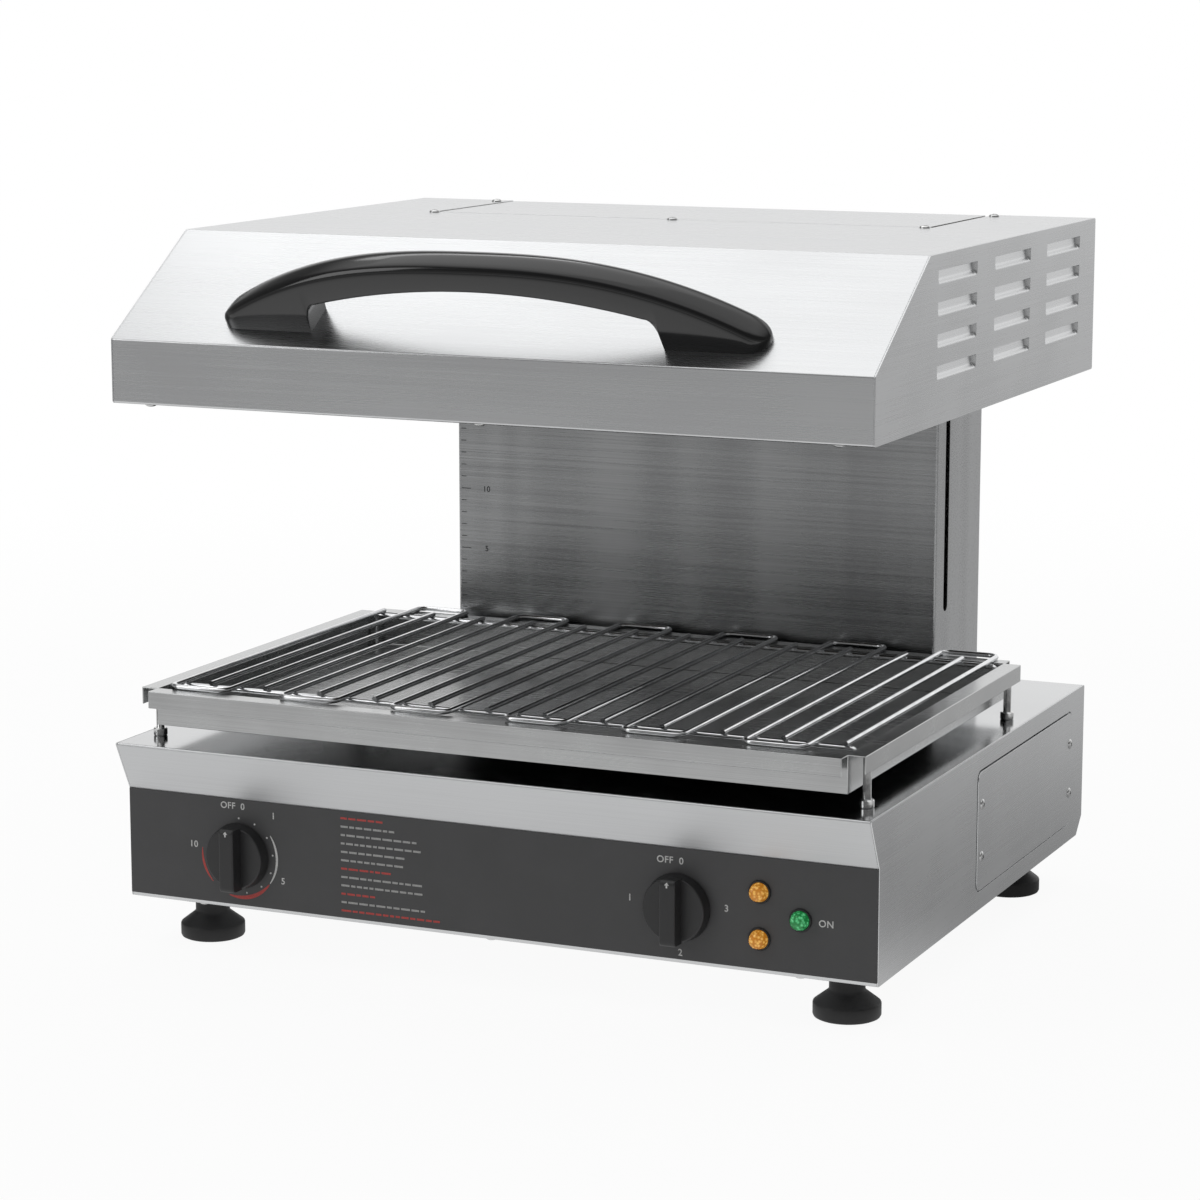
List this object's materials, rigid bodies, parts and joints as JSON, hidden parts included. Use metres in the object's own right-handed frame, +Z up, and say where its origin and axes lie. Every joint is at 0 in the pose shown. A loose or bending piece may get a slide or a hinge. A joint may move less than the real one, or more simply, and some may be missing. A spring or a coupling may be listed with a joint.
{
  "type": "salamander grill",
  "caption": "Lift-top electric salamander grill: a heater hood with an arched handle slides on a column above a lift-off drip pan and wire grid.",
  "frame": {"origin": "centre of the footprint at the level of the feet's undersides", "axes": "+X to the right seen from the front, -Y towards the operator, +Z up"},
  "size_m": [0.6044, 0.528, 0.5387],
  "materials": {
    "stainless": "fine satin",
    "hood_steel": "fine satin",
    "pan_steel": "satin",
    "panel_black": "satin print",
    "black_plastic": "moulded, slightly glossy",
    "white_plastic": "moulded",
    "orange_lens": "faceted",
    "green_lens": "faceted",
    "bright_steel": "bright",
    "zinc_steel": "zinc plated",
    "wire_chrome": "plated",
    "tube_black": "gloss",
    "bush_brass": "turned",
    "element_steel": "dull",
    "blanket": "fibrous"
  },
  "bodies": {
    "base": {"base_shell": "stainless", "side_panel_left": "stainless", "side_panel_right": "stainless", "bottom_plate": "zinc_steel", "control_panel": "panel_black", "side_cover_left": "stainless", "side_cover_right": "stainless", "cover_screws": "bright_steel", "base_screws": "bright_steel", "timer_body": "white_plastic", "selector_body": "white_plastic", "control_screws": "zinc_steel", "lamp_barrels": "black_plastic", "lamp_lens_upper": "orange_lens", "lamp_lens_lower": "orange_lens", "lamp_lens_power": "green_lens", "terminal_block": "white_plastic", "cable_gland": "black_plastic", "column_shell": "stainless", "column_back": "stainless", "column_cap": "hood_steel", "column_screws": "bright_steel", "guide_rods": "bright_steel", "guide_foot": "zinc_steel", "guide_head": "zinc_steel", "gas_spring_tubes": "tube_black", "support_pins": "wire_chrome", "foot_nuts": "zinc_steel"},
    "hood": {"hood_shell": "hood_steel", "hood_side_left": "hood_steel", "hood_side_right": "hood_steel", "hood_bottom_frame": "hood_steel", "column_shroud": "hood_steel", "hood_screws": "bright_steel", "reflector": "pan_steel", "insulation_blanket": "blanket", "element_left": "element_steel", "element_right": "element_steel", "element_supports": "zinc_steel", "handle": "black_plastic", "handle_screws": "zinc_steel", "carriage": "zinc_steel", "carriage_bushes": "bush_brass", "arm_left": "zinc_steel", "arm_right": "zinc_steel", "arm_bolts": "zinc_steel", "gas_spring_rods": "bright_steel"},
    "pan": {"drip_pan": "pan_steel"},
    "grid": {"wire_grid": "wire_chrome", "grid_cross_bars": "wire_chrome"},
    "timer": {"timer_knob": "black_plastic", "timer_shaft": "bright_steel"},
    "selector": {"selector_knob": "black_plastic", "selector_shaft": "bright_steel"},
    "foot_fl": {"foot_front_left": "black_plastic"},
    "foot_fr": {"foot_front_right": "black_plastic"},
    "foot_rl": {"foot_rear_left": "black_plastic"},
    "foot_rr": {"foot_rear_right": "black_plastic"}
  },
  "joints": [
    {"name": "hood_lift", "type": "slide", "parent": "base", "child": "hood", "axis": [0, 0, 1], "range_m": [-0.185, 0]},
    {"name": "pan_lift", "type": "slide", "parent": "base", "child": "pan", "axis": [0, 0, 1], "range_m": [0, 0.011]},
    {"name": "grid_lift", "type": "slide", "parent": "pan", "child": "grid", "axis": [0, 0, 1], "range_m": [0, 0.008]},
    {"name": "timer_turn", "type": "hinge", "parent": "base", "child": "timer", "pos_m": [-0.205, -0.23202, 0.08], "axis": [0, 1, 0], "range_deg": [0, 300]},
    {"name": "selector_turn", "type": "hinge", "parent": "base", "child": "selector", "pos_m": [0.15, -0.23202, 0.08], "axis": [0, 1, 0], "range_deg": [0, 270]},
    {"name": "foot_fl_screw", "type": "hinge", "parent": "base", "child": "foot_fl", "pos_m": [-0.259, -0.18102, 0], "axis": [0, 0, 1], "continuous": true},
    {"name": "foot_fr_screw", "type": "hinge", "parent": "base", "child": "foot_fr", "pos_m": [0.259, -0.18102, 0], "axis": [0, 0, 1], "continuous": true},
    {"name": "foot_rl_screw", "type": "hinge", "parent": "base", "child": "foot_rl", "pos_m": [-0.259, 0.19398, 0], "axis": [0, 0, 1], "continuous": true},
    {"name": "foot_rr_screw", "type": "hinge", "parent": "base", "child": "foot_rr", "pos_m": [0.259, 0.19398, 0], "axis": [0, 0, 1], "continuous": true}
  ]
}
